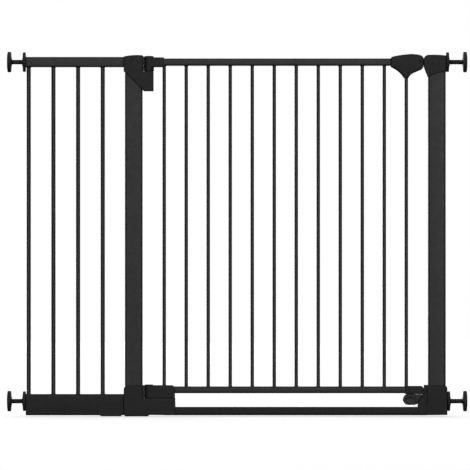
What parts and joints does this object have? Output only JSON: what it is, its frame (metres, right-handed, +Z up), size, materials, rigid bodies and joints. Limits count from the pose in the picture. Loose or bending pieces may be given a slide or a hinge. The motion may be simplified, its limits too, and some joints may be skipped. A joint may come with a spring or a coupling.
{
  "type": "safety gate",
  "caption": "Pressure-fit child safety gate: post frame with threshold, barred extension panel and a lift-and-swing barred door with a slide latch.",
  "frame": {"origin": "bottom centre of the whole gate, on the floor midway between the wall faces", "axes": "+X to the right seen from the front, front faces -Y, +Z up"},
  "size_m": [0.9528, 0.0426, 0.7545],
  "materials": {
    "powder_coated_steel": "dark grey satin powder coat",
    "moulded_plastic": "fine-grained dark grey moulded plastic",
    "zinc_plated_steel": "bright zinc plate",
    "spring_steel": "oiled spring wire",
    "nylon": "natural dark nylon"
  },
  "bodies": {
    "frame": {"base_bracket_left": "moulded_plastic", "base_bracket_right": "moulded_plastic", "closer_cover": "moulded_plastic", "closing_spring": "spring_steel", "extension_bar_1": "powder_coated_steel", "extension_bar_2": "powder_coated_steel", "extension_bar_3": "powder_coated_steel", "extension_bar_4": "powder_coated_steel", "extension_bottom_rail": "powder_coated_steel", "extension_coupler": "moulded_plastic", "extension_top_rail": "powder_coated_steel", "post_bush_bottom_right": "nylon", "post_bush_top_right": "nylon", "post_left": "powder_coated_steel", "post_right": "powder_coated_steel", "rail_plug_bottom_left": "nylon", "rail_plug_top_left": "nylon", "strike_cap": "moulded_plastic", "threshold_rail": "powder_coated_steel", "top_hinge_housing": "moulded_plastic"},
    "closer": {"closer_bush": "nylon"},
    "door": {"bottom_lock_housing": "moulded_plastic", "door_bar_01": "powder_coated_steel", "door_bar_02": "powder_coated_steel", "door_bar_03": "powder_coated_steel", "door_bar_04": "powder_coated_steel", "door_bar_05": "powder_coated_steel", "door_bar_06": "powder_coated_steel", "door_bar_07": "powder_coated_steel", "door_bar_08": "powder_coated_steel", "door_bar_09": "powder_coated_steel", "door_bar_10": "powder_coated_steel", "door_bar_11": "powder_coated_steel", "door_bar_12": "powder_coated_steel", "door_bottom_rail": "powder_coated_steel", "door_top_rail": "powder_coated_steel", "latch_housing_front": "moulded_plastic", "latch_housing_rear": "moulded_plastic", "latch_screw_lower": "zinc_plated_steel", "latch_screw_upper": "zinc_plated_steel", "latch_spring": "spring_steel", "lower_hinge_pin": "zinc_plated_steel", "lower_knuckle": "moulded_plastic", "upper_hinge_pin": "zinc_plated_steel", "upper_knuckle": "moulded_plastic"},
    "latch": {"release_button": "moulded_plastic", "latch_bolt": "zinc_plated_steel"},
    "bottom_lock": {"bottom_lock_slide": "moulded_plastic"},
    "wheel_top_left": {"adjusting_wheel_top_left": "moulded_plastic"},
    "spindle_top_left": {"spindle_top_left": "powder_coated_steel", "wall_cup_top_left": "moulded_plastic"},
    "wheel_top_right": {"adjusting_wheel_top_right": "moulded_plastic"},
    "spindle_top_right": {"spindle_top_right": "powder_coated_steel", "wall_cup_top_right": "moulded_plastic"},
    "wheel_bottom_left": {"adjusting_wheel_bottom_left": "moulded_plastic"},
    "spindle_bottom_left": {"spindle_bottom_left": "powder_coated_steel", "wall_cup_bottom_left": "moulded_plastic"},
    "wheel_bottom_right": {"adjusting_wheel_bottom_right": "moulded_plastic"},
    "spindle_bottom_right": {"spindle_bottom_right": "powder_coated_steel", "wall_cup_bottom_right": "moulded_plastic"}
  },
  "joints": [
    {"name": "door_swing", "type": "hinge", "parent": "frame", "child": "closer", "pos_m": [-0.1828, 0, 0.02], "axis": [0, 0, 1], "range_deg": [-90, 90], "stiffness_Nm_per_rad": 0.6},
    {"name": "door_lift", "type": "slide", "parent": "closer", "child": "door", "axis": [0, 0, 1], "range_m": [0, 0.012]},
    {"name": "latch_release", "type": "slide", "parent": "door", "child": "latch", "axis": [-1, 0, 0], "range_m": [0, 0.008], "stiffness_N_per_m": 250, "springref_m": -0.002, "deforming": ["latch_spring"]},
    {"name": "bottom_lock_slide", "type": "slide", "parent": "door", "child": "bottom_lock", "axis": [-1, 0, 0], "range_m": [0, 0.01]},
    {"name": "wheel_turn_top_left", "type": "hinge", "parent": "frame", "child": "wheel_top_left", "pos_m": [-0.4379, 0, 0.7333], "axis": [-1, 0, 0], "range_deg": [-4323, 4323]},
    {"name": "spindle_feed_top_left", "type": "slide", "parent": "frame", "child": "spindle_top_left", "axis": [-1, 0, 0], "range_m": [-0.018, 0.018]},
    {"name": "wheel_turn_top_right", "type": "hinge", "parent": "frame", "child": "wheel_top_right", "pos_m": [0.4327, 0, 0.7333], "axis": [1, 0, 0], "range_deg": [-4323, 2163]},
    {"name": "spindle_feed_top_right", "type": "slide", "parent": "frame", "child": "spindle_top_right", "axis": [1, 0, 0], "range_m": [-0.018, 0.009]},
    {"name": "wheel_turn_bottom_left", "type": "hinge", "parent": "frame", "child": "wheel_bottom_left", "pos_m": [-0.4379, 0, 0.0311], "axis": [-1, 0, 0], "range_deg": [-4323, 4323]},
    {"name": "spindle_feed_bottom_left", "type": "slide", "parent": "frame", "child": "spindle_bottom_left", "axis": [-1, 0, 0], "range_m": [-0.018, 0.018]},
    {"name": "wheel_turn_bottom_right", "type": "hinge", "parent": "frame", "child": "wheel_bottom_right", "pos_m": [0.4351, 0, 0.0311], "axis": [1, 0, 0], "range_deg": [-4323, 2163]},
    {"name": "spindle_feed_bottom_right", "type": "slide", "parent": "frame", "child": "spindle_bottom_right", "axis": [1, 0, 0], "range_m": [-0.018, 0.009]}
  ],
  "couplings": [
    {"joint": "wheel_turn_top_left", "follows": "spindle_feed_top_left", "rad_per_m": 4188.8},
    {"joint": "wheel_turn_top_right", "follows": "spindle_feed_top_right", "rad_per_m": 4188.8},
    {"joint": "wheel_turn_bottom_left", "follows": "spindle_feed_bottom_left", "rad_per_m": 4188.8},
    {"joint": "wheel_turn_bottom_right", "follows": "spindle_feed_bottom_right", "rad_per_m": 4188.8}
  ]
}
